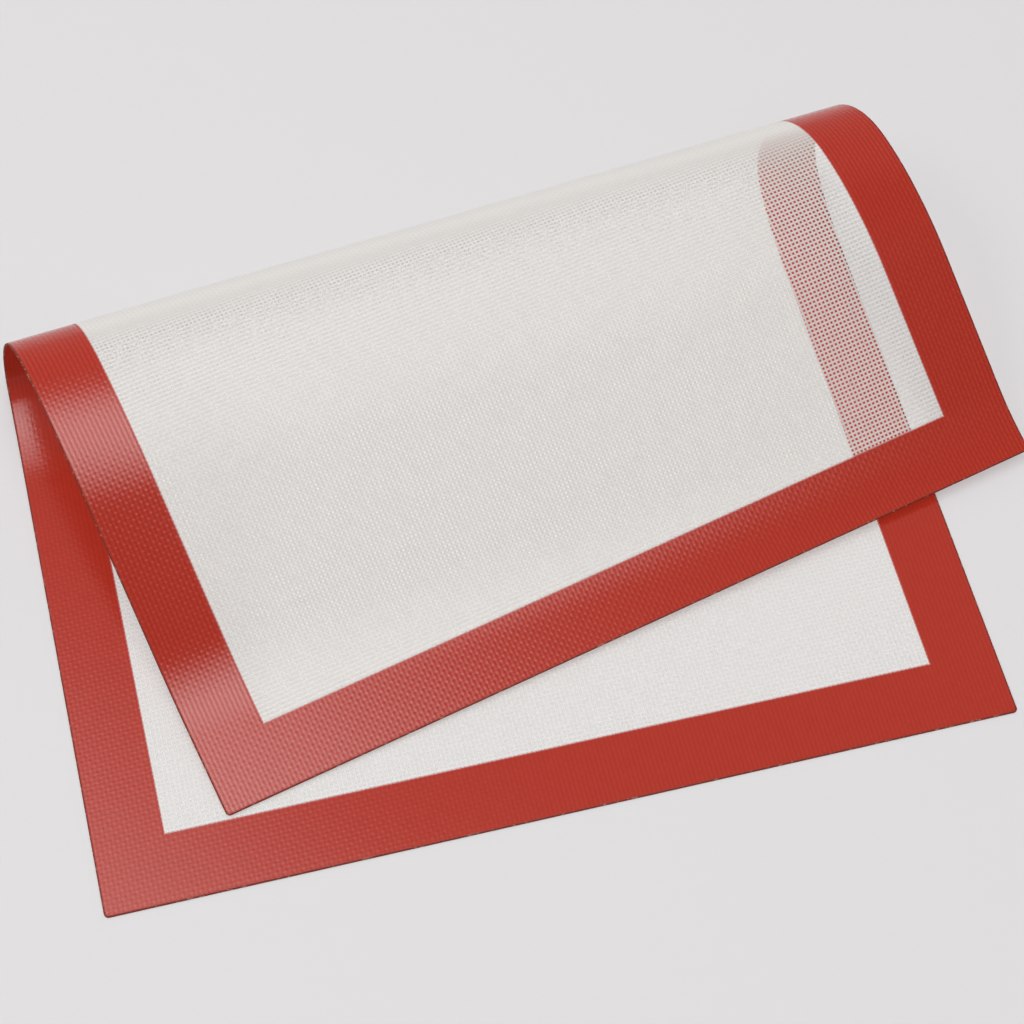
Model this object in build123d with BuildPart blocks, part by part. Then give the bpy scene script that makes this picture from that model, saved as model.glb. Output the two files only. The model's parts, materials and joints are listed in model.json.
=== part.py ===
from build123d import *
from math import cos, radians, sin
import os

# Silicone baking mat, folded over once
# A woven glass cloth lies between two clear silicone coats, and a red silicone
# border wraps its edge. The front part lies on the table and the rest is folded
# back over it. The sheet is cut along straight lines across the fold, and each
# piece turns on the next one about such a line, so the mat can open out flat.
# The origin is on the underside, in the middle of the part that lies flat.

# Sheet, in millimetres
mat_width = 295
mat_length = 400
corner_radius = 1.5
border_width = 22
edge_seal = 1
cloth_thickness = 0.35
coat_thickness = 0.2

# Fold, in millimetres and degrees
# It rises gently into a tight first bend, goes over the top and down the back,
# runs straight down a slope and lands on the lower leaf with its free end.
folded_length = 230.5
fold_skew = 6.4
rise_radius = 83
rise_turn = 20
rise_hinges = 2
first_radius = 12
first_turn = 58
first_hinges = 2
top_turn = 105
top_hinges = 5
back_radius = 95
back_turn = 27
back_hinges = 2
landing_radius = 70
landing_hinges = 2
free_end_length = 28
free_end_angle = 6.8
landing_gap = 0.3

# Sizes that follow
sheet_thickness = cloth_thickness + 2 * coat_thickness
resting_length = mat_length - folded_length
mat_middle = mat_length / 2 - resting_length / 2
fold_start = resting_length / 2
half_turn = 180
slope_angle = rise_turn + first_turn + top_turn + back_turn - half_turn
landing_turn = slope_angle - free_end_angle
cutting_overrun = mat_width + mat_length

# Lengths along the sheet are taken square to the hinges, which cross it askew
along_sheet = 1 / cos(radians(fold_skew))
corner_reach = folded_length / along_sheet + mat_width / 2 * sin(radians(fold_skew))


def hinge_lines(top_radius):
    """Each hinge's distance from the start of the fold and the turn that it makes."""
    bends = [
        (rise_radius, rise_turn, rise_hinges),
        (first_radius, first_turn, first_hinges),
        (top_radius, top_turn, top_hinges),
        (back_radius, back_turn, back_hinges),
        (landing_radius, -landing_turn, landing_hinges),
    ]
    lines = []
    reached = 0
    for radius, turn, hinges in bends:
        arc_length = radius * radians(abs(turn))
        if turn < 0:
            reached = corner_reach - free_end_length - arc_length
        lines += [
            (reached + (number + 1 / 2) / hinges * arc_length, turn / hinges)
            for number in range(hinges)
        ]
        reached += arc_length
    return lines


def hinge_place(distance, turn):
    """Where a hinge is on the flat mat: on the face that ends up inside its bend."""
    height = sheet_thickness if turn > 0 else 0
    return Location((0, fold_start + distance * along_sheet, height), (0, 0, fold_skew))


def folded_sheets(lines):
    """The flat mat's own frame as each piece carries it, from the lower leaf to the free end."""
    sheets = [Location()]
    for distance, turn in lines:
        hinge = hinge_place(distance, turn)
        sheets.append(sheets[-1] * hinge * Location((0, 0, 0), (turn, 0, 0)) * hinge.inverse())
    return sheets


def landing_height(top_radius):
    """Height of the free end's foremost corner, which changes evenly with the top radius."""
    corner = Location((-mat_width / 2, fold_start + folded_length, sheet_thickness))
    return (folded_sheets(hinge_lines(top_radius))[-1] * corner).position.Z


# The loop is as high as it takes to land that corner on the lower leaf
height_wanted = sheet_thickness + landing_gap
height_of_none = landing_height(0)
height_of_trial = landing_height(folded_length)
top_radius = folded_length * (height_wanted - height_of_none) / (height_of_trial - height_of_none)

hinges = hinge_lines(top_radius)
sheets = folded_sheets(hinges)
bend_names = [f"bend_{number:02d}" for number in range(1, len(hinges))]
piece_names = ["lower_leaf"] + bend_names + ["free_end"]
cut_lines = [-cutting_overrun] + [distance for distance, turn in hinges] + [cutting_overrun]

os.makedirs("parts", exist_ok=True)


def cut_to_band(first_cut, second_cut):
    """Keeps what lies between two cutting lines of the sketch that is open."""
    middle = fold_start + (first_cut + second_cut) / 2 * along_sheet
    with Locations(Location((0, middle, 0), (0, 0, fold_skew))):
        Rectangle(2 * cutting_overrun, second_cut - first_cut, mode=Mode.INTERSECT)


def finish(part, name):
    """Names a finished piece and writes it."""
    part.label = name
    export_step(part, f"parts/{name}.step")


for name, sheet, first_cut, second_cut in zip(piece_names, sheets, cut_lines, cut_lines[1:]):
    underside = Plane(sheet)

    # Glass cloth: it stops short of the mat's edge, where the border seals it
    with BuildPart() as cloth:
        with BuildSketch(underside.offset(coat_thickness)):
            with Locations((0, mat_middle)):
                Rectangle(mat_width - 2 * edge_seal, mat_length - 2 * edge_seal)
            cut_to_band(first_cut, second_cut)
        extrude(amount=cloth_thickness)
    finish(cloth.part, f"cloth_{name}")

    # Clear silicone coats: one under the cloth and one on the baking face
    for coat_name, coat_height in (("under_coat", 0), ("upper_coat", coat_thickness + cloth_thickness)):
        with BuildPart() as coat:
            with BuildSketch(underside.offset(coat_height)):
                with Locations((0, mat_middle)):
                    Rectangle(mat_width - 2 * border_width, mat_length - 2 * border_width)
                cut_to_band(first_cut, second_cut)
            extrude(amount=coat_thickness)
        finish(coat.part, f"{coat_name}_{name}")

    # Red silicone border: on both faces of the cloth and round its cut edge
    with BuildPart() as border:
        with BuildSketch(underside):
            with Locations((0, mat_middle)):
                RectangleRounded(mat_width, mat_length, corner_radius)
                Rectangle(
                    mat_width - 2 * border_width,
                    mat_length - 2 * border_width,
                    mode=Mode.SUBTRACT,
                )
            cut_to_band(first_cut, second_cut)
        extrude(amount=sheet_thickness)
        with BuildSketch(underside.offset(coat_thickness)):
            with Locations((0, mat_middle)):
                Rectangle(mat_width - 2 * edge_seal, mat_length - 2 * edge_seal)
            cut_to_band(first_cut, second_cut)
        extrude(amount=cloth_thickness, mode=Mode.SUBTRACT)
    finish(border.part, f"border_{name}")

# The loop's size, and the hinges as they stand in the folded mat
print("top radius", round(top_radius, 3))
for (distance, turn), sheet in zip(hinges, sheets):
    line = Plane(sheet * hinge_place(distance, turn))
    print("hinge", round(distance, 3), round(turn, 6), *(round(v, 6) for v in (*line.origin, *line.x_dir)))
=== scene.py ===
import json
from math import cos, pi, radians, sin

import bpy
import numpy as np
from mathutils import Matrix, Vector

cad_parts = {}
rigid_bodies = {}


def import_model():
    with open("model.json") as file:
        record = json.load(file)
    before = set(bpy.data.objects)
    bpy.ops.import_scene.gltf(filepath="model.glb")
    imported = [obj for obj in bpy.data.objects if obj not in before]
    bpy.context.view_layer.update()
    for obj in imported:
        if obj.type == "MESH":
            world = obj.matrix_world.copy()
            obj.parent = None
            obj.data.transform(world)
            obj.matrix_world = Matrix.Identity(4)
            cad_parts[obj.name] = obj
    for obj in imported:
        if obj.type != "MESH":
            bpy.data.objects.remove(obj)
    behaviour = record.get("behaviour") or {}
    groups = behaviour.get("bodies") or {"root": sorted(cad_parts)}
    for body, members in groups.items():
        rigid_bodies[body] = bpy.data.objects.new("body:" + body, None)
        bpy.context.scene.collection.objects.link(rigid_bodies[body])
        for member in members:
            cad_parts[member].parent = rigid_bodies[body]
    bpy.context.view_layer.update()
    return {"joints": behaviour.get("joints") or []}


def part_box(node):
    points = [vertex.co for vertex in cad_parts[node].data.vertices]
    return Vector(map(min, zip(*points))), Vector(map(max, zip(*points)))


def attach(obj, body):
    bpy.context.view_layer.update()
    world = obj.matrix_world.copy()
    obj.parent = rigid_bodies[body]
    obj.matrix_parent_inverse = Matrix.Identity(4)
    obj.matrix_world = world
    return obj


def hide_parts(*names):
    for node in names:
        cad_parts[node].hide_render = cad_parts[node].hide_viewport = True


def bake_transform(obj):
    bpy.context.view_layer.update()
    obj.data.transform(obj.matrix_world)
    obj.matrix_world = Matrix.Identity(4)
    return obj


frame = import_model()

# Camera
# It looks down on the mat from the front, a little from the left, and is turned
# about its own axis as the photograph is. Its place was fitted to the mat's edges.
azimuth, elevation, roll = radians(-18.427), radians(61.755), radians(4.706)
distance = 0.791196
aim = Vector((0, 0.02025, 0.000375))
aim_right, aim_up = 0.006282, 0.003396
sensor_width = 36
lens = 83.929

level_right = Vector((cos(azimuth), sin(azimuth), 0))
back = Vector((sin(azimuth) * cos(elevation), -cos(azimuth) * cos(elevation), sin(elevation)))
level_up = back.cross(level_right)
right = cos(roll) * level_right + sin(roll) * level_up
up = cos(roll) * level_up - sin(roll) * level_right
camera = bpy.data.objects.new("camera", bpy.data.cameras.new("camera"))
camera.data.sensor_width = sensor_width
camera.data.lens = lens
camera.matrix_world = Matrix((right, up, back)).transposed().to_4x4()
camera.location = aim + aim_right * right + aim_up * up + distance * back
bpy.context.scene.collection.objects.link(camera)
bpy.context.scene.camera = camera

# The sheet
# One flat sheet, 400 x 295 mm, is folded over once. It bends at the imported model's
# hinges, which cross it askew. Its turning is spread evenly round each hinge, and the
# changes from one bend to the next are softened over a few millimetres.
mat_length = 0.400
leaf_low, leaf_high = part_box("border_lower_leaf")
mat_width = leaf_high.x - leaf_low.x
mat_front = leaf_low.y
mat_back = mat_front + mat_length
thickness = leaf_high.z - leaf_low.z
corner_radius = 0.0015
border_width = 0.022
field_half_width = mat_width / 2 - border_width
field_front = mat_front + border_width
field_back = mat_back - border_width
softening = 0.006

hinges = frame["joints"]
bodies = [hinges[0]["parent"]] + [hinge["child"] for hinge in hinges]
places = np.array([hinge["pos_m"] for hinge in hinges])
axes = np.array([hinge["axis"] for hinge in hinges])
along = -axes[0]
across = np.array([-along[1], along[0], 0])
upward = np.array([0, 0, 1])
turns = np.radians([hinge["range_deg"][1] for hinge in hinges]) * np.sign(axes @ axes[0])

# Distances are measured along the sheet, square to the hinges. A bend reaches as far
# before its hinge as after it.
steps = np.diff(places, axis=0)
steps -= (steps @ along)[:, None] * along
gaps = np.linalg.norm(steps, axis=1)
hinge_distance = places[0] @ across + np.concatenate(([0], np.cumsum(gaps)))
bend_reach = np.minimum(np.append(gaps[0], gaps), np.append(gaps, gaps[-1])) / 2
bend_start = hinge_distance - bend_reach
bend_end = hinge_distance + bend_reach

# The path is the sheet's middle in side view: its turning is added up along it. A round
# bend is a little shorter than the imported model's sharp one between the same points.
path_step = 0.0001
path_distance = np.arange(bend_start[0] - 2 * softening, mat_back + mat_width, path_step)
inside = (path_distance[:, None] >= bend_start) & (path_distance[:, None] < bend_end)
bending = inside @ (turns / (bend_end - bend_start))
window = np.hanning(2 * round(softening / path_step) + 1)
bending = np.convolve(bending, window / window.sum(), mode="same")
path_turn = np.cumsum(bending) * path_step
half_turns = np.abs(turns) / 2
shortening = inside @ (1 - half_turns / np.tan(half_turns))
stretched_step = path_step * (1 - shortening + thickness / 2 * np.abs(bending))
path_out = path_distance[0] + np.cumsum(np.cos(path_turn) * stretched_step)
path_up = thickness / 2 + np.cumsum(np.sin(path_turn) * stretched_step)

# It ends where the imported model's free end lies, so the small rest is shared out along it
end_turn = turns.sum()
end_run = bend_end[-1] - hinge_distance[-1]
end_wanted = np.array([
    places[-1] @ across + end_run * cos(end_turn) - thickness / 2 * sin(end_turn),
    places[-1][2] + end_run * sin(end_turn) + thickness / 2 * cos(end_turn),
])
end_reached = np.array([
    np.interp(bend_end[-1], path_distance, path_out),
    np.interp(bend_end[-1], path_distance, path_up),
])
share = np.clip((path_distance - bend_start[0]) / (bend_end[-1] - bend_start[0]), 0, 1)
share = share * share * (3 - 2 * share)
path_out += share * (end_wanted - end_reached)[0]
path_up += share * (end_wanted - end_reached)[1]


def folded(x, y, lift):
    """Where the folded mat carries the point x, y of the flat one, raised by lift above its middle.

    Along the hinges a point keeps its place. Across them it follows the path, and the lift is square
    to the path.
    """
    place = x * along[0] + y * along[1]
    reach = x * across[0] + y * across[1]
    turn = np.interp(reach, path_distance, path_turn, left=0)
    out = np.where(reach < path_distance[0], reach, np.interp(reach, path_distance, path_out))
    height = np.interp(reach, path_distance, path_up)
    out = out - lift * np.sin(turn)
    height = height + lift * np.cos(turn)
    return place[..., None] * along + out[..., None] * across + height[..., None] * upward


def cross_line(x, reach):
    """The y at which a line along the hinges, at that distance along the sheet, crosses each x."""
    return (reach - x * across[0]) / across[1]


# Faces and cut edge
# Both faces are smooth but for the weave, which the materials raise in them. At the
# cut edge they are rounded over a fraction of a millimetre.
yarn_pitch = 0.00145
rim_width = 0.0004
rim_rounding = 0.0002
rim_lines = np.array([0, 0.2, 0.5]) * rim_width
corner_lines = np.array([0.5, 0.75, 1]) * corner_radius
rim_columns = np.concatenate((rim_lines, [rim_width], corner_lines))
column_spacing = 0.004
leaf_spacing = 0.003
bend_spacing = 0.0015
hair = 0.00002
least_normal = 1e-12


def edge_distance(x, y):
    """Distance inwards from the cut edge, which is a rectangle with rounded corners."""
    beyond_x = np.abs(x) - (mat_width / 2 - corner_radius)
    beyond_y = np.abs(y - (mat_front + mat_back) / 2) - (mat_length / 2 - corner_radius)
    outside = np.hypot(np.maximum(beyond_x, 0), np.maximum(beyond_y, 0))
    return corner_radius - outside - np.minimum(np.maximum(beyond_x, beyond_y), 0)


def face_lift(x, y):
    """Height of a face over the sheet's middle: half the thickness, less a rounding at the cut edge."""
    rim = 1 - np.clip(edge_distance(x, y) / rim_width, 0, 1)
    return thickness / 2 - rim_rounding * rim ** 2


def top_face(x, y):
    """The baking face, which is the upper one where the mat lies flat."""
    return folded(x, y, face_lift(x, y))


def under_face(x, y):
    """The underside."""
    return folded(x, y, -face_lift(x, y))


def facing(face, x, y):
    """A face's normals, square to its slopes along x and y."""
    nudge = rim_width / 20
    slope_x = face(x + nudge, y) - face(x - nudge, y)
    slope_y = face(x, y + nudge) - face(x, y - nudge)
    normal = np.cross(slope_x, slope_y)
    return normal / np.linalg.norm(normal, axis=-1, keepdims=True)


def columns(low, high, rim_low=False, rim_high=False):
    """The places across the mat of a block's mesh lines: evenly spaced, and closer at the cut edge."""
    low_part = low + rim_columns if rim_low else np.array([low])
    high_part = high - rim_columns[::-1] if rim_high else np.array([high])
    inner_low, inner_high = low_part[-1], high_part[0]
    inner = np.linspace(inner_low, inner_high, round((inner_high - inner_low) / column_spacing) + 1)
    return np.concatenate((low_part, inner[1:-1], high_part))


def block(x, low, high, spacing, rim_low=False, rim_high=False):
    """The mesh lines of the part of the sheet between the lines low and high.

    Columns where that part is shorter than half a hair's width are left out.
    """
    kept = high - low > hair / 2
    if kept.sum() < 2:
        return None
    x, low, high = x[kept], low[kept], high[kept]
    start = low + rim_width if rim_low else low
    stop = high - rim_width if rim_high else high
    share = np.linspace(0, 1, int(np.ceil((stop - start).max() / spacing)) + 1)[:, None]
    parts = [start + share * (stop - start)]
    if rim_low:
        parts.insert(0, low + rim_lines[:, None])
    if rim_high:
        parts.append(high - rim_lines[::-1, None])
    y = np.concatenate(parts)
    return np.broadcast_to(x, y.shape), y


def sheet_mesh(name, blocks, walled):
    """A mesh of blocks, each with a baking face and an underside, and with a wall round it if walled.

    The mesh carries the flat place in yarn pitches as its UV, and four values: how far a point is
    from the cut edge, how far into the field from the border's side strips and from its end strips,
    and 1 on the underside.
    """
    points, quads, normals, wall_faces, flats, undersides = [], [], [], [], [], []
    count = 0
    for x, y in blocks:
        grid = count + np.arange(x.size).reshape(x.shape)
        corners = [grid[:-1, :-1], grid[:-1, 1:], grid[1:, 1:], grid[1:, :-1]]
        upper = np.stack(corners, axis=-1).reshape(-1, 4)
        lower = upper[:, ::-1] + x.size
        ring = np.concatenate((grid[0, :-1], grid[:-1, -1], grid[-1, :0:-1], grid[:0:-1, 0]))
        ahead = np.roll(ring, -1)
        wall = np.stack((ring + x.size, ahead + x.size, ahead, ring), axis=-1)
        points += [top_face(x, y).reshape(-1, 3), under_face(x, y).reshape(-1, 3)]
        normals += [facing(top_face, x, y).reshape(-1, 3), -facing(under_face, x, y).reshape(-1, 3)]
        flats += [np.stack((x, y), axis=-1).reshape(-1, 2)] * 2
        undersides += [np.zeros(x.size), np.ones(x.size)]
        quads += [upper, lower]
        wall_faces += [np.zeros(len(upper) + len(lower), bool)]
        if walled:
            quads.append(wall)
            wall_faces.append(np.ones(len(wall), bool))
        count += 2 * x.size
    points, quads, normals = np.concatenate(points), np.concatenate(quads), np.concatenate(normals)
    flats, wall_faces = np.concatenate(flats), np.concatenate(wall_faces)

    mesh = bpy.data.meshes.new(name)
    mesh.from_pydata(points, [], quads)
    mesh.polygons.foreach_set("use_smooth", np.ones(len(quads), bool))
    uv = flats[quads.ravel()] / yarn_pitch
    mesh.uv_layers.new(name="weave").data.foreach_set("uv", uv.ravel())
    values = {
        "from_cut_edge": edge_distance(flats[:, 0], flats[:, 1]),
        "from_side_strip": field_half_width - np.abs(flats[:, 0]),
        "from_end_strip": np.minimum(flats[:, 1] - field_front, field_back - flats[:, 1]),
        "underside": np.concatenate(undersides),
    }
    for value_name, value in values.items():
        carried = mesh.attributes.new(value_name, "FLOAT", "POINT")
        carried.data.foreach_set("value", value.astype(np.float32))
    across_quad = points[quads[:, 2]] - points[quads[:, 0]]
    other_across = points[quads[:, 3]] - points[quads[:, 1]]
    flat_normal = np.cross(across_quad, other_across)
    flat_normal /= np.maximum(np.linalg.norm(flat_normal, axis=1, keepdims=True), least_normal)
    corner_normals = np.where(wall_faces[:, None, None], flat_normal[:, None, :], normals[quads])
    mesh.normals_split_custom_set(corner_normals.reshape(-1, 3))
    return mesh


def add_sheet_piece(name, number, blocks, material, nodes, walled):
    """Puts one piece of the sheet in the scene. The first rides on the lower leaf, others bend at a hinge.

    A narrow piece counts as 10 mm long there, and its area says what it has.
    """
    piece = bpy.data.objects.new(name, sheet_mesh(name, blocks, walled))
    bpy.context.scene.collection.objects.link(piece)
    piece.data.materials.append(material)
    if number == 0:
        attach(piece, bodies[0])
    else:
        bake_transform(piece)
    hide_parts(*nodes)


def sheet_ends(number, x):
    """The two lines between which a piece lies: the mat's own ends, or the lines where bends start."""
    low = cross_line(x, bend_start[number - 1]) if number else np.full_like(x, mat_front)
    high = cross_line(x, bend_start[number]) if number < len(hinges) else np.full_like(x, mat_back)
    return low, high


# Glass cloth in clear silicone
# The field inside the border is the bare weave between two clear silicone coats.
# White yarn fills most of it, and what lies behind shows through its small holes.
yarn_colour = (0.85, 0.82, 0.785, 1)
# The next colour is the yarns' colour in painted shade, for the valleys between them.
shaded_valley_colour = (0.75, 0.72, 0.685, 1)
silicone_colour = (0.80, 0.78, 0.75, 1)
red_colour = (0.47, 0.031, 0.0155, 1)
yarn_cover = 0.46
yarn_alpha = 0.77
hole_alpha = 0.07
holes_close = (0, 0.65)
field_let_through = 0.93
silicone_ior = 1.41
field_roughness = 0.45
knuckle_height = 0.00005
field_evenness = 0.4
relief_middle = 0.5
field_relief = {"Knuckles": 0.16, "Ridges across": 0.20, "Ridges along": 0}
yarn_relief = 0.3
pale_crests = (0.2, 0.9)
seep_width = 0.0013
seep_strength = 1.15
seep_held_back = 0.2
seep_fade = (0.05, 1.05)


def math_node(tree, operation, *values, clamp=False):
    """A Math node with values or sockets as its inputs. Gives its output socket."""
    node = tree.nodes.new("ShaderNodeMath")
    node.operation = operation
    node.use_clamp = clamp
    for socket, value in zip(node.inputs, values):
        if isinstance(value, bpy.types.NodeSocket):
            tree.links.new(value, socket)
        else:
            socket.default_value = value
    return node.outputs[0]


def mix_colours(tree, factor, first, second):
    """A Mix node between two colours or sockets. Gives its output socket."""
    node = tree.nodes.new("ShaderNodeMix")
    node.data_type = "RGBA"
    for name, value in (("Factor_Float", factor), ("A_Color", first), ("B_Color", second)):
        socket = next(s for s in node.inputs if s.identifier == name)
        if isinstance(value, bpy.types.NodeSocket):
            tree.links.new(value, socket)
        else:
            socket.default_value = value
    return next(s for s in node.outputs if s.identifier == "Result_Color")


def smooth_step(tree, value, low, high):
    """A Map Range node that goes smoothly from 0 at low to 1 at high. Gives its output socket."""
    node = tree.nodes.new("ShaderNodeMapRange")
    node.interpolation_type = "SMOOTHSTEP"
    tree.links.new(value, node.inputs["Value"])
    node.inputs["From Min"].default_value = low
    node.inputs["From Max"].default_value = high
    return node.outputs["Result"]


def wave(tree, place, waves):
    """A cosine wave with that many waves in each unit of a place. Gives its output socket."""
    return math_node(tree, "COSINE", math_node(tree, "MULTIPLY", place, 2 * pi * waves))


def noise_node(tree, place, scale, detail):
    """A Noise Texture at a place. Gives its output socket."""
    node = tree.nodes.new("ShaderNodeTexNoise")
    node.inputs["Scale"].default_value = scale
    node.inputs["Detail"].default_value = detail
    tree.links.new(place, node.inputs["Vector"])
    return node.outputs["Fac"]


def new_material(name):
    """A material with nodes. Gives the material and its Principled BSDF."""
    material = bpy.data.materials.new(name)
    material.use_nodes = True
    return material, material.node_tree.nodes["Principled BSDF"]


def attribute(tree, name):
    """One of the mesh's own values. Gives its output socket."""
    node = tree.nodes.new("ShaderNodeAttribute")
    node.attribute_name = name
    return node.outputs["Fac"]


def scattered_light(tree):
    """1 for the rays that make shadows and diffuse light, and 0 for others. Gives its output socket.

    The sheet lets most of them through, because the photograph's shadows are faint.
    """
    light = tree.nodes.new("ShaderNodeLightPath")
    return math_node(tree, "MAXIMUM", light.outputs["Is Shadow Ray"], light.outputs["Is Diffuse Ray"])


def add_bump(tree, shader, relief, height):
    """Raises a relief in a surface by bump: where it is 1 stands that much higher than where it is 0."""
    bump = tree.nodes.new("ShaderNodeBump")
    bump.inputs["Distance"].default_value = height
    tree.links.new(relief, bump.inputs["Height"])
    tree.links.new(bump.outputs["Normal"], shader.inputs["Normal"])


def weave_group():
    """Open plain weave, on places in yarn pitches.

    A yarn lies along each whole number, over one crossing and under the next. The group puts out the
    yarn mask, the yarns' height from 0 in a hole to 1 on a crest, the smooth relief that they raise in
    the silicone, 1 where the yarns along the mat lie on top, and a slow change from yarn to yarn. The
    relief is its middle value and a sum of cosines in the shares given: knuckles at each second
    crossing, ridges across the mat and ridges along it.
    """
    yarn_rim = (0.82, 1.18)
    body_height, round_height, rise_height = 0.5, 0.25, 0.25
    crossing_blend = 0.1
    lead_blend = 0.15
    change_scale, change_detail = 0.35, 3

    tree = bpy.data.node_groups.new("open plain weave", "ShaderNodeTree")
    tree.interface.new_socket("Place", in_out="INPUT", socket_type="NodeSocketVector")
    for given in ("Cover", "Knuckles", "Ridges across", "Ridges along"):
        tree.interface.new_socket(given, in_out="INPUT", socket_type="NodeSocketFloat")
    for output in ("Yarn", "Height", "Relief", "Lengthwise", "Change"):
        tree.interface.new_socket(output, in_out="OUTPUT", socket_type="NodeSocketFloat")
    inputs = tree.nodes.new("NodeGroupInput")
    outputs = tree.nodes.new("NodeGroupOutput")
    split = tree.nodes.new("ShaderNodeSeparateXYZ")
    tree.links.new(inputs.outputs["Place"], split.inputs[0])
    x, y = split.outputs["X"], split.outputs["Y"]

    half_cover = math_node(tree, "MULTIPLY", inputs.outputs["Cover"], 0.5)
    masks, heights = [], []
    for own, other, side in ((x, y, 1), (y, x, -1)):
        nearest = math_node(tree, "ROUND", own)
        offset = math_node(tree, "ABSOLUTE", math_node(tree, "SUBTRACT", own, nearest))
        share_out = math_node(tree, "DIVIDE", offset, half_cover)
        mask = math_node(tree, "SUBTRACT", 1, smooth_step(tree, share_out, *yarn_rim), clamp=True)
        over = math_node(tree, "MULTIPLY", wave(tree, nearest, 1 / 2), side)
        rise = math_node(tree, "MULTIPLY", over, wave(tree, other, 1 / 2))
        fallen = math_node(tree, "MULTIPLY", share_out, share_out)
        roundness = math_node(tree, "SUBTRACT", 1, fallen, clamp=True)
        height = math_node(tree, "MULTIPLY_ADD", roundness, round_height, body_height)
        height = math_node(tree, "MULTIPLY_ADD", rise, rise_height, height)
        masks.append(mask)
        heights.append(math_node(tree, "MULTIPLY", height, mask))
    tree.links.new(math_node(tree, "MAXIMUM", *masks), outputs.inputs["Yarn"])
    tree.links.new(math_node(tree, "SMOOTH_MAX", *heights, crossing_blend), outputs.inputs["Height"])
    lead = math_node(tree, "SUBTRACT", *heights)
    lengthwise = smooth_step(tree, lead, -lead_blend, lead_blend)
    tree.links.new(lengthwise, outputs.inputs["Lengthwise"])

    knuckles = math_node(tree, "MULTIPLY", wave(tree, x, 1 / 2), wave(tree, y, 1 / 2))
    relief = math_node(tree, "MULTIPLY_ADD", knuckles, inputs.outputs["Knuckles"], relief_middle)
    for place, share in ((y, "Ridges across"), (x, "Ridges along")):
        relief = math_node(tree, "MULTIPLY_ADD", wave(tree, place, 1), inputs.outputs[share], relief)
    tree.links.new(relief, outputs.inputs["Relief"])
    change = noise_node(tree, inputs.outputs["Place"], change_scale, change_detail)
    tree.links.new(change, outputs.inputs["Change"])
    return tree


weave = weave_group()


def place_weave(tree, relief):
    """The weave group on a piece's own UV map, with the shares of its relief."""
    uv = tree.nodes.new("ShaderNodeUVMap")
    uv.uv_map = "weave"
    node = tree.nodes.new("ShaderNodeGroup")
    node.node_tree = weave
    node.inputs["Cover"].default_value = yarn_cover
    for name, share in relief.items():
        node.inputs[name].default_value = share
    tree.links.new(uv.outputs["UV"], node.inputs["Place"])
    return node


def field_material():
    """Woven glass in clear silicone. Red silicone has crept into the holes next to the border.

    Each face is painted palest, as painted light, where its outer yarns are: those along the mat on the
    baking face, and those across it on the underside. The valleys between carry painted shade. The holes
    are about as deep as they are wide, so they close to the eye where the cloth is seen aslant.
    """
    material, shader = new_material("glass cloth in clear silicone")
    tree = material.node_tree
    cloth = place_weave(tree, field_relief)
    yarn, height = cloth.outputs["Yarn"], cloth.outputs["Height"]

    inner = math_node(tree, "SUBTRACT", cloth.outputs["Lengthwise"], attribute(tree, "underside"))
    outer = math_node(tree, "ABSOLUTE", inner)
    # Painted light and shade: the outer yarns and crests are painted paler, the valleys darker.
    crest = math_node(tree, "MULTIPLY", math_node(tree, "ADD", outer, height), 0.5)
    colour = mix_colours(tree, smooth_step(tree, crest, *pale_crests), shaded_valley_colour, yarn_colour)
    colour = mix_colours(tree, yarn, silicone_colour, colour)

    distances = [attribute(tree, name) for name in ("from_side_strip", "from_end_strip")]
    near_border = smooth_step(tree, math_node(tree, "MINIMUM", *distances), seep_width, 0)
    seeping = math_node(tree, "MULTIPLY", near_border, seep_strength)
    held_back = math_node(tree, "MULTIPLY", height, seep_held_back)
    crept = smooth_step(tree, math_node(tree, "SUBTRACT", seeping, held_back), *seep_fade)
    colour = mix_colours(tree, crept, colour, red_colour)
    tree.links.new(colour, shader.inputs["Base Color"])

    clear = math_node(tree, "MULTIPLY_ADD", yarn, yarn_alpha - hole_alpha, hole_alpha)
    slant = tree.nodes.new("ShaderNodeLayerWeight")
    closed = smooth_step(tree, slant.outputs["Facing"], *holes_close)
    seen = math_node(tree, "MAXIMUM", math_node(tree, "MAXIMUM", clear, crept), closed)
    let_through = math_node(tree, "MULTIPLY", scattered_light(tree), field_let_through)
    seen = math_node(tree, "MULTIPLY", seen, math_node(tree, "SUBTRACT", 1, let_through))
    geometry = tree.nodes.new("ShaderNodeNewGeometry")
    front = math_node(tree, "SUBTRACT", 1, geometry.outputs["Backfacing"])
    tree.links.new(math_node(tree, "MULTIPLY", seen, front), shader.inputs["Alpha"])

    shader.inputs["Roughness"].default_value = field_roughness
    shader.inputs["IOR"].default_value = silicone_ior
    relief = math_node(tree, "MULTIPLY_ADD", height, yarn_relief, cloth.outputs["Relief"])
    add_bump(tree, shader, relief, knuckle_height * field_evenness)
    return material


glass_cloth = field_material()

# Where the start of a bend crosses the field's back edge, there is a mesh line just on each side
field_x = columns(-field_half_width, field_half_width)
crossings = (bend_start[:, None] - (field_back + np.array([-hair, hair])) * across[1]) / across[0]
field_x = np.sort(np.append(field_x, crossings[np.abs(crossings) < field_half_width]))

for number, body in enumerate(bodies):
    low, high = sheet_ends(number, field_x)
    spacing = bend_spacing if number else leaf_spacing
    made = block(field_x, np.maximum(low, field_front), np.minimum(high, field_back), spacing)
    add_sheet_piece(
        f"mesh_field_{body}",
        number,
        [made],
        glass_cloth,
        [f"cloth_{body}", f"under_coat_{body}", f"upper_coat_{body}"],
        walled=False,
    )
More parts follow.
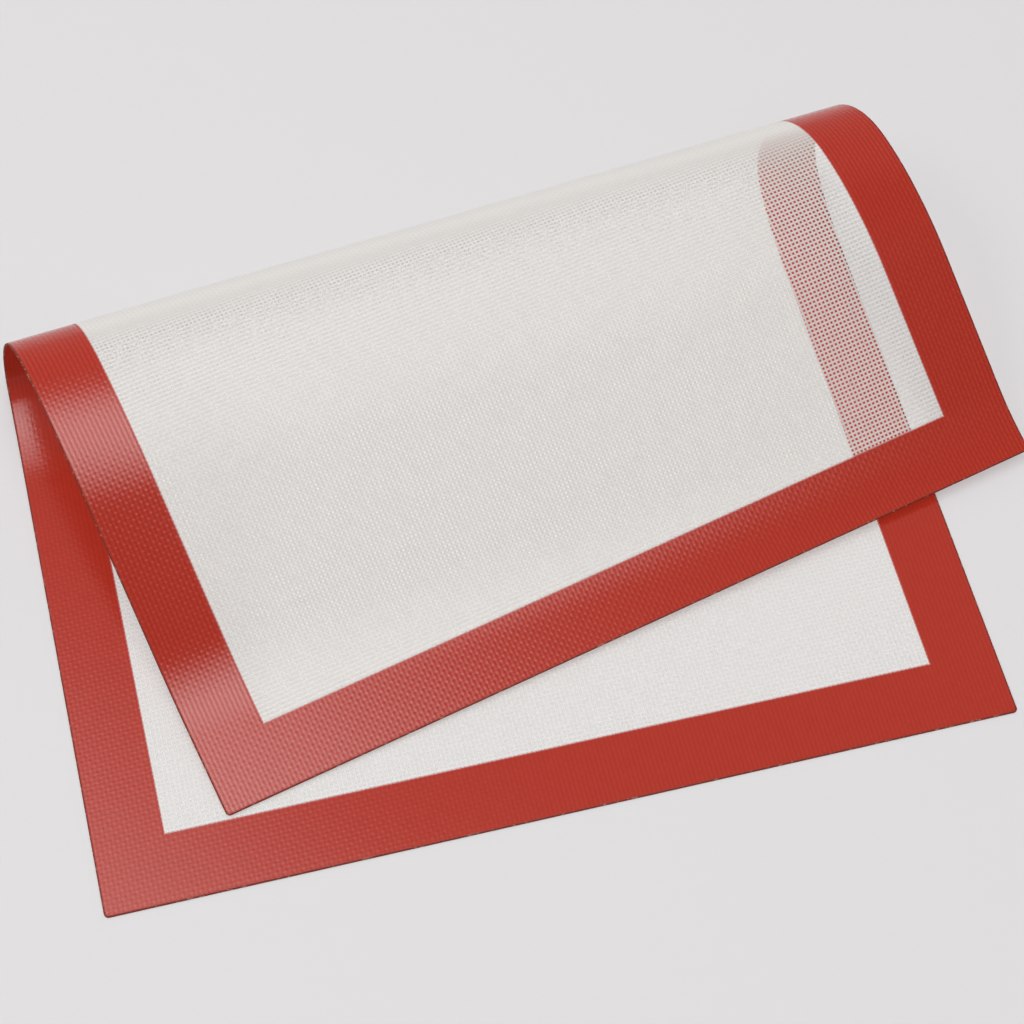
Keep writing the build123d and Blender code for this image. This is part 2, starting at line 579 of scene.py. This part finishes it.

# Red border
# Red silicone lies on both faces of the cloth and round its cut edge, and hides it. It
# is glossy, and the yarns under it show as fine ridges and staggered dimples.
# The paler red is partly painted sheen in the fine lines over the yarns.
thin_red_and_sheen = (0.49, 0.037, 0.019, 1)
thick_red = (0.425, 0.0245, 0.011, 1)
# The cut edge red is partly painted shade along the edge.
cut_red_and_edge_shade = (0.19, 0.03, 0.018, 1)
glass_end_colour = (0.36, 0.19, 0.13, 1)
border_relief = {"Knuckles": 0.20, "Ridges across": 0.14, "Ridges along": 0.10}
border_lines = {"Knuckles": 0.06, "Ridges along": 0.24}
baking_face_depth = 0.45
thinness_change = 0.3
thinness_and_sheen_seen = (0.25, 1.05)
edge_darkening = 0.0009
speck_scale, speck_detail = 700, 2
speck_rim = (0.58, 0.66)
border_let_through = 0.75
border_roughness, cut_roughness = 0.15, 0.55
least_gloss, most_gloss, cut_gloss = 0.2, 0.8, 0.15


def border_material():
    """Glossy red silicone, paler and glossier in fine lines where it is thin over the yarns along the mat.

    The weave shows less on the baking face. The paler colour of the fine lines is partly painted sheen.
    The cut edge is darker, partly as painted shade along it, and duller, with pale yarn ends in it.
    """
    material, shader = new_material("red silicone")
    tree = material.node_tree
    cloth = place_weave(tree, border_relief)
    underside = attribute(tree, "underside")
    depth = math_node(tree, "MULTIPLY_ADD", underside, 1 - baking_face_depth, baking_face_depth)
    ridges = place_weave(tree, border_lines).outputs["Relief"]
    lines = math_node(tree, "SUBTRACT", ridges, relief_middle)
    lines = math_node(tree, "MULTIPLY_ADD", lines, depth, relief_middle)
    cut = smooth_step(tree, attribute(tree, "from_cut_edge"), edge_darkening, 0)

    # The fine pale lines are partly painted sheen and partly thinner silicone over the yarns.
    thinness_and_sheen = math_node(tree, "MULTIPLY_ADD", cloth.outputs["Change"], thinness_change, lines)
    colour = mix_colours(tree, smooth_step(tree, thinness_and_sheen, *thinness_and_sheen_seen), thick_red, thin_red_and_sheen)
    coordinates = tree.nodes.new("ShaderNodeTexCoord")
    specks = noise_node(tree, coordinates.outputs["Object"], speck_scale, speck_detail)
    glass_end = math_node(tree, "MULTIPLY", smooth_step(tree, specks, *speck_rim), cut)
    # The cut edge is painted darker, partly as painted shade along the edge.
    cut_and_edge_shade_colour = mix_colours(tree, glass_end, cut_red_and_edge_shade, glass_end_colour)
    tree.links.new(mix_colours(tree, cut, colour, cut_and_edge_shade_colour), shader.inputs["Base Color"])

    let_through = math_node(tree, "MULTIPLY", scattered_light(tree), border_let_through)
    tree.links.new(math_node(tree, "SUBTRACT", 1, let_through), shader.inputs["Alpha"])
    roughness = math_node(tree, "MULTIPLY_ADD", cut, cut_roughness - border_roughness, border_roughness)
    tree.links.new(roughness, shader.inputs["Roughness"])
    gloss = math_node(tree, "MULTIPLY_ADD", lines, most_gloss - least_gloss, least_gloss)
    dulled = math_node(tree, "MULTIPLY", math_node(tree, "SUBTRACT", gloss, cut_gloss), cut)
    tree.links.new(math_node(tree, "SUBTRACT", gloss, dulled), shader.inputs["Specular IOR Level"])
    shader.inputs["IOR"].default_value = silicone_ior
    relief = math_node(tree, "MULTIPLY", cloth.outputs["Relief"], depth)
    add_bump(tree, shader, relief, knuckle_height)
    return material


def corner_cut(x):
    """How far a rounded corner takes the mat's end in."""
    beyond = np.clip(np.abs(x) - (mat_width / 2 - corner_radius), 0, corner_radius)
    return corner_radius - np.sqrt(corner_radius ** 2 - beyond ** 2)


red_silicone = border_material()
left_x = columns(-mat_width / 2, -field_half_width, rim_low=True)
right_x = columns(field_half_width, mat_width / 2, rim_high=True)
for number, body in enumerate(bodies):
    first, last = number == 0, number == len(hinges)
    made = []
    for x in (left_x, right_x):
        low, high = sheet_ends(number, x)
        low = low + corner_cut(x) * first
        high = high - corner_cut(x) * last
        made.append(block(x, low, high, bend_spacing, rim_low=first, rim_high=last))
    low, high = sheet_ends(number, field_x)
    if first:
        made.append(block(field_x, low, np.full_like(low, field_front), bend_spacing, rim_low=True))
    made.append(block(field_x, np.maximum(low, field_back), high, bend_spacing, rim_high=last))
    add_sheet_piece(
        f"red_border_{body}",
        number,
        [part for part in made if part is not None],
        red_silicone,
        [f"border_{body}"],
        walled=True,
    )

# Table and light
# A plain pale table in a white studio that is brighter behind the mat than before it.
# One long soft light overhead stands askew and fades out at its rim, and is what shines
# in the red silicone. A dim panel on the left fills in.
table_colour = (0.80, 0.785, 0.793, 1)
table_roughness = 0.6
table_gloss = 0.2
table_side = 12
table_depth = 0.00002
light_before, light_behind = 0.28, 0.52
brightening = (0, 0.35)
light_height = 3.0
light_place = Vector((0.04, -0.08, light_height))
light_turn = 0.57
light_half_sides = (0.457, 1.53)
light_strength = 5.75
light_fades = (0.55, 0.88, 1.2, 1.5)
fade_gap = 0.01
fill_place = Vector((-2.6, 0.3, light_height))
fill_sides = (1.6, 2.4)
fill_strength = 2.9

bpy.ops.mesh.primitive_plane_add(size=table_side, location=(0, 0, -table_depth))
table = bpy.context.object
table.name = "table"
table_material, table_shader = new_material("pale table")
table_shader.inputs["Base Color"].default_value = table_colour
table_shader.inputs["Roughness"].default_value = table_roughness
table_shader.inputs["Specular IOR Level"].default_value = table_gloss
table.data.materials.append(table_material)


def add_lamp(name, shape, sides, lit_area, strength, place, turn):
    """A flat lamp that faces down and looks as bright as strength times plain white."""
    lamp = bpy.data.objects.new(name, bpy.data.lights.new(name, "AREA"))
    lamp.data.shape = shape
    lamp.data.size, lamp.data.size_y = sides
    lamp.data.energy = strength * pi * lit_area
    lamp.location = place
    lamp.rotation_euler = (0, 0, turn)
    bpy.context.scene.collection.objects.link(lamp)


# Four ellipses of light lie over each other, each a little larger than the one below
for number, fade in enumerate(light_fades):
    half_width, half_length = (fade * side for side in light_half_sides)
    add_lamp(
        "soft light",
        "ELLIPSE",
        (2 * half_width, 2 * half_length),
        pi * half_width * half_length,
        light_strength / len(light_fades),
        light_place + Vector((0, 0, number * fade_gap)),
        light_turn,
    )
add_lamp("fill light", "RECTANGLE", fill_sides, fill_sides[0] * fill_sides[1], fill_strength, fill_place, 0)

world = bpy.data.worlds.new("studio")
world.use_nodes = True
sky = world.node_tree
direction = sky.nodes.new("ShaderNodeTexCoord")
split_direction = sky.nodes.new("ShaderNodeSeparateXYZ")
sky.links.new(direction.outputs["Generated"], split_direction.inputs[0])
behind = smooth_step(sky, split_direction.outputs["Y"], *brightening)
strength = math_node(sky, "MULTIPLY_ADD", behind, light_behind - light_before, light_before)
sky.links.new(strength, sky.nodes["Background"].inputs["Strength"])
sky.nodes["Background"].inputs["Color"].default_value = (1, 1, 1, 1)
bpy.context.scene.world = world
bpy.context.scene.view_settings.view_transform = "Standard"

# The fold lays up to three layers of see-through cloth behind one another, and a ray
# passes two faces of each on its way to and fro
bpy.context.scene.cycles.transparent_max_bounces = 32
